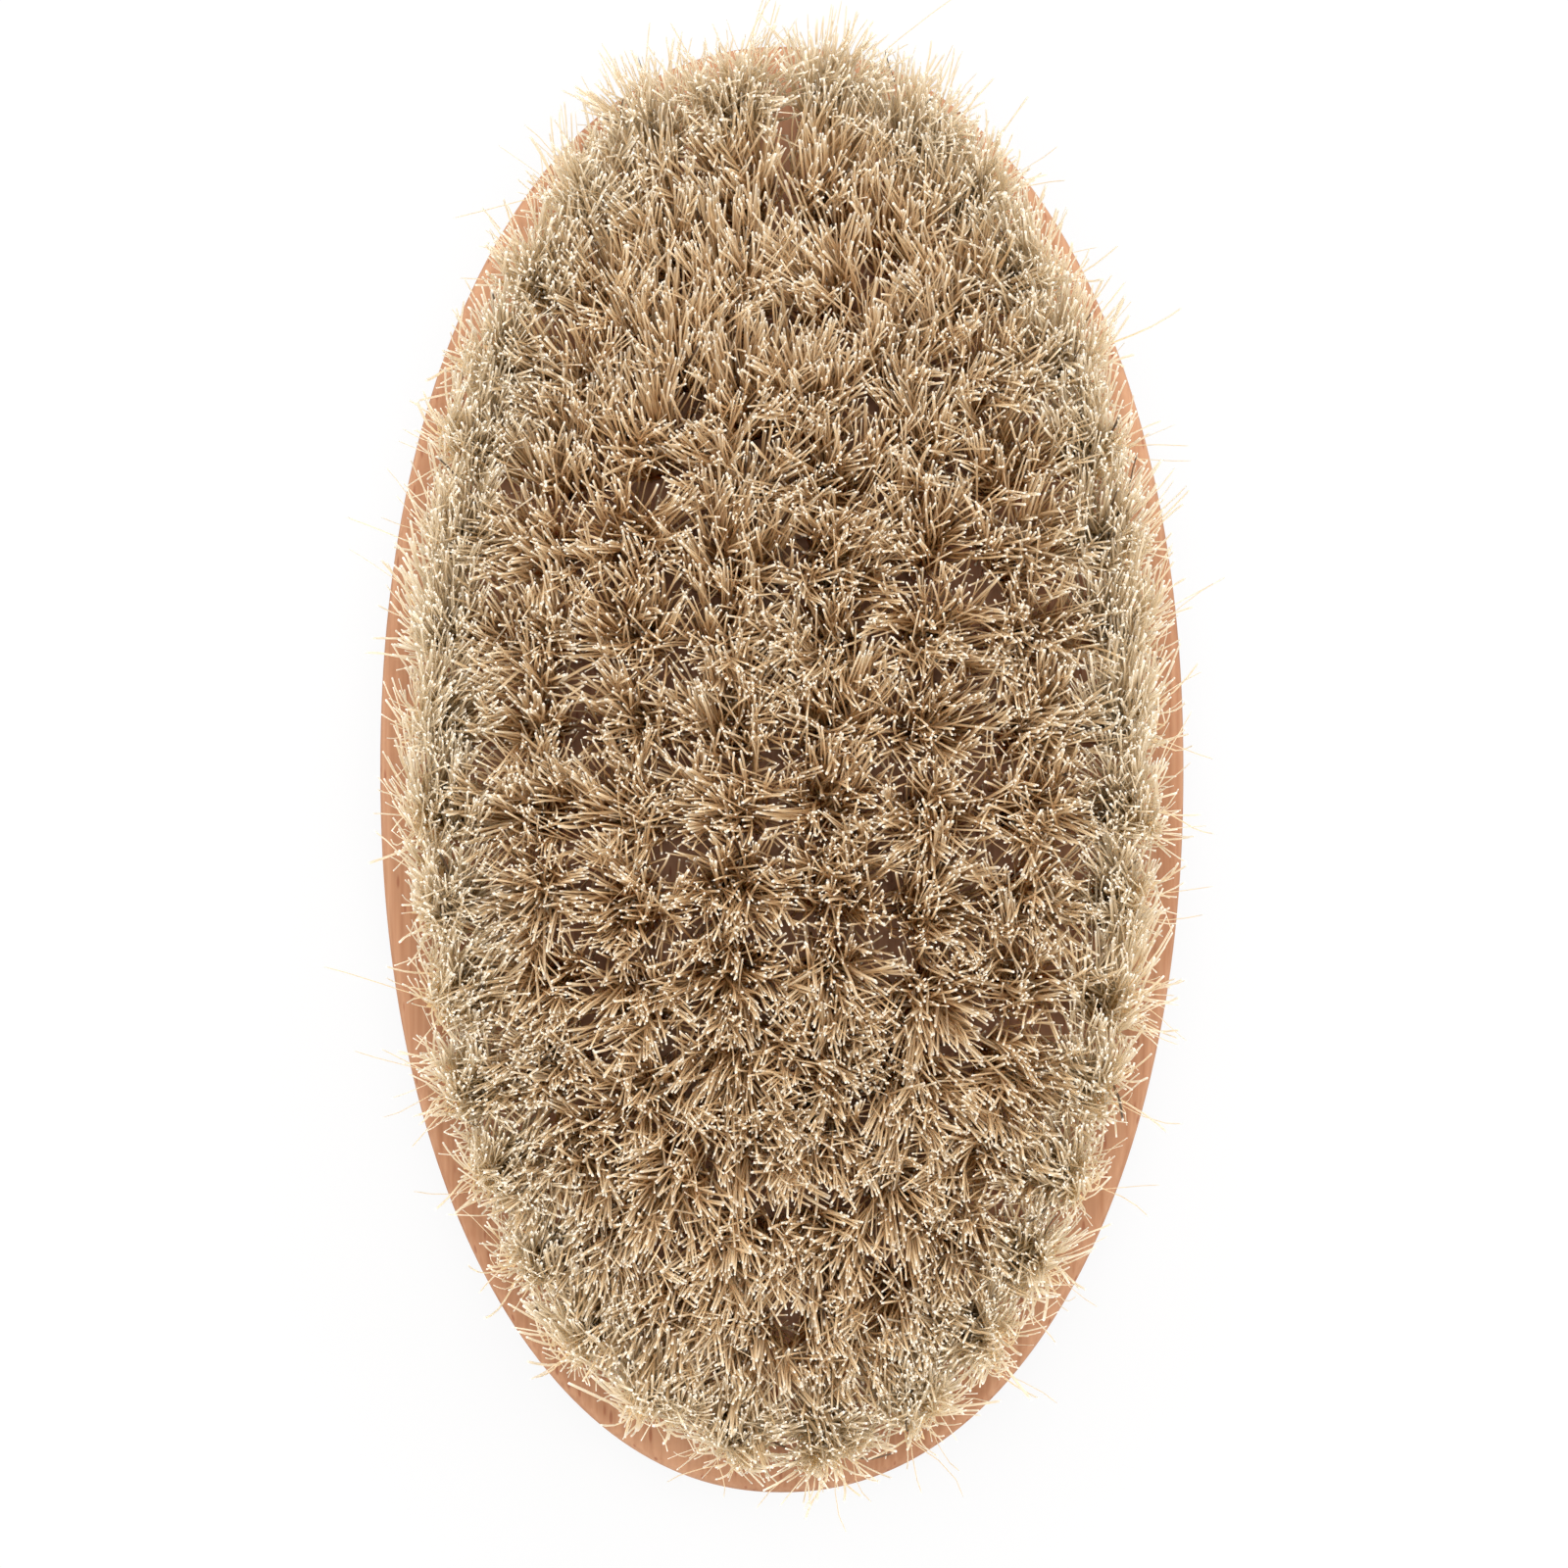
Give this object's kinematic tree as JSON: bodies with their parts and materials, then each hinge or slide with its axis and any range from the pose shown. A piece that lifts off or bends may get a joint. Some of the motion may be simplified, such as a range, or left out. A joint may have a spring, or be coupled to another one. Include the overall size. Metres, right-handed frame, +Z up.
{
  "type": "shoe brush",
  "caption": "Oval wooden hand brush with dense pale natural bristle in concentric rings, for brushing and polishing shoes.",
  "frame": {"origin": "middle of the flat back, on the surface that the brush lies on", "axes": "+Z up, out of the back towards the bristle tips; +Y along the brush; +X across it"},
  "size_m": [0.075, 0.135, 0.0479],
  "materials": {
    "beech_face": "sanded and lightly oiled",
    "beech_back": "sanded and lightly oiled",
    "outer_bristle": "natural bristle, cream",
    "inner_bristle": "natural bristle, golden tan with cream tips",
    "draw_wire": "drawn wire"
  },
  "bodies": {
    "root": {"face_board": "beech_face", "back_board": "beech_back", "draw_wire_outer": "draw_wire", "outer_tufts_front_right": "outer_bristle", "outer_tufts_front_left": "outer_bristle", "outer_tufts_rear_left": "outer_bristle", "outer_tufts_rear_right": "outer_bristle", "draw_wire_second": "draw_wire", "second_tufts_front_right": "inner_bristle", "second_tufts_front_left": "inner_bristle", "second_tufts_rear_left": "inner_bristle", "second_tufts_rear_right": "inner_bristle", "draw_wire_third": "draw_wire", "third_tufts_front_right": "inner_bristle", "third_tufts_front_left": "inner_bristle", "third_tufts_rear_left": "inner_bristle", "third_tufts_rear_right": "inner_bristle", "draw_wire_fourth": "draw_wire", "fourth_tufts_front_right": "inner_bristle", "fourth_tufts_front_left": "inner_bristle", "fourth_tufts_rear_left": "inner_bristle", "fourth_tufts_rear_right": "inner_bristle"}
  },
  "joints": []
}
